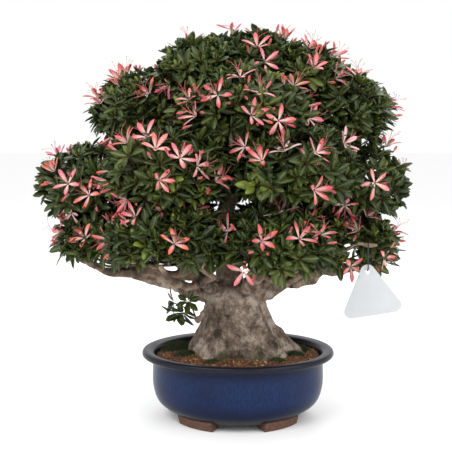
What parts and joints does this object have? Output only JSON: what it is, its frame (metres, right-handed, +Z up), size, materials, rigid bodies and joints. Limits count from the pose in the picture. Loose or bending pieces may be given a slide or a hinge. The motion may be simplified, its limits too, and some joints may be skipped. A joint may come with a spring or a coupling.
{
  "type": "satsuki azalea bonsai",
  "caption": "Satsuki azalea bonsai with a flared trunk, tiered leaf pads and narrow-petalled coral blooms, standing in an oval blue glazed pot, with a plain hanging tag.",
  "frame": {"origin": "on the ground, under the middle of the tree's spread", "axes": "+Z up, -Y towards the front of the tree, +X to the right seen from the front"},
  "size_m": [0.6128, 0.4945, 0.6512],
  "materials": {
    "glazed_pot": "glossy deep blue glaze, unglazed brown feet",
    "soil": "loose reddish-brown clay granules",
    "bark": "rough pale grey-brown bark",
    "leaf": "dark green satin leaf",
    "petal": "soft coral petal, paler at its base",
    "tag_plastic": "plain white",
    "tie": "black",
    "screen_net": "black"
  },
  "bodies": {
    "root": {"pot": "glazed_pot", "soil": "soil", "trunk_and_limbs": "bark", "tag": "tag_plastic", "tag_tie": "tie", "drain_screen_left": "screen_net", "drain_screen_right": "screen_net", "leaves_crown_left": "leaf", "leaves_crown_top": "leaf", "leaves_crown_right": "leaf", "leaves_shoulder_left": "leaf", "leaves_shoulder_right": "leaf", "leaves_shoulder_front": "leaf", "leaves_shoulder_back": "leaf", "leaves_middle_left": "leaf", "leaves_middle_front_left": "leaf", "leaves_middle_front_right": "leaf", "leaves_middle_right": "leaf", "leaves_middle_back_left": "leaf", "leaves_middle_back_right": "leaf", "leaves_lower_left": "leaf", "leaves_lower_front_left": "leaf", "leaves_lower_front_right": "leaf", "leaves_lower_right": "leaf", "leaves_lower_back_left": "leaf", "leaves_lower_back_right": "leaf", "leaves_trunk_sprig": "leaf", "blooms_crown_left": "petal", "blooms_crown_top": "petal", "blooms_crown_right": "petal", "blooms_shoulder_left": "petal", "blooms_shoulder_right": "petal", "blooms_shoulder_front": "petal", "blooms_shoulder_back": "petal", "blooms_middle_left": "petal", "blooms_middle_front_left": "petal", "blooms_middle_front_right": "petal", "blooms_middle_right": "petal", "blooms_middle_back_left": "petal", "blooms_middle_back_right": "petal", "blooms_lower_left": "petal", "blooms_lower_front_left": "petal", "blooms_lower_front_right": "petal", "blooms_lower_right": "petal", "blooms_lower_back_left": "petal", "blooms_lower_back_right": "petal"}
  },
  "joints": []
}
